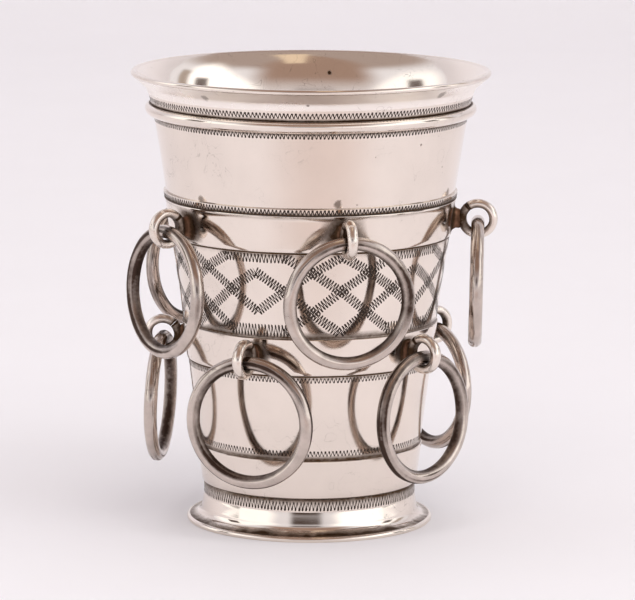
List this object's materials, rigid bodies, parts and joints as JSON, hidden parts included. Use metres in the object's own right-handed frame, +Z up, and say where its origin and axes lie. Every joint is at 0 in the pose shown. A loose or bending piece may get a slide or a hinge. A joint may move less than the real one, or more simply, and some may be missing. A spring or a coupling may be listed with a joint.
{
  "type": "ring beaker",
  "caption": "Footed silver beaker with a flared lip, soldered wire under it, engraved toothed bands and lattice, and loose rings hanging from soldered eyes",
  "frame": {"origin": "centre of the foot's underside, on the surface that the beaker stands on", "axes": "+Z up along the axis of the cup, -Y towards the front"},
  "size_m": [0.0774, 0.0772, 0.0951],
  "materials": {
    "polished_silver": "polished silver with light wear",
    "eye_silver": "hand-finished silver with dark stains where it is soldered",
    "ring_silver": "worn, lightly tarnished silver"
  },
  "bodies": {
    "root": {"cup": "polished_silver", "foot": "polished_silver", "neck_wire": "polished_silver", "eye_upper_1": "eye_silver", "eye_upper_2": "eye_silver", "eye_upper_3": "eye_silver", "eye_upper_4": "eye_silver", "eye_upper_5": "eye_silver", "eye_lower_1": "eye_silver", "eye_lower_2": "eye_silver", "eye_lower_3": "eye_silver", "eye_lower_4": "eye_silver", "eye_lower_5": "eye_silver", "ring_upper_1": "ring_silver", "ring_upper_2": "ring_silver", "ring_upper_3": "ring_silver", "ring_upper_4": "ring_silver", "ring_upper_5": "ring_silver", "ring_lower_1": "ring_silver", "ring_lower_2": "ring_silver", "ring_lower_3": "ring_silver", "ring_lower_4": "ring_silver", "ring_lower_5": "ring_silver"}
  },
  "joints": []
}
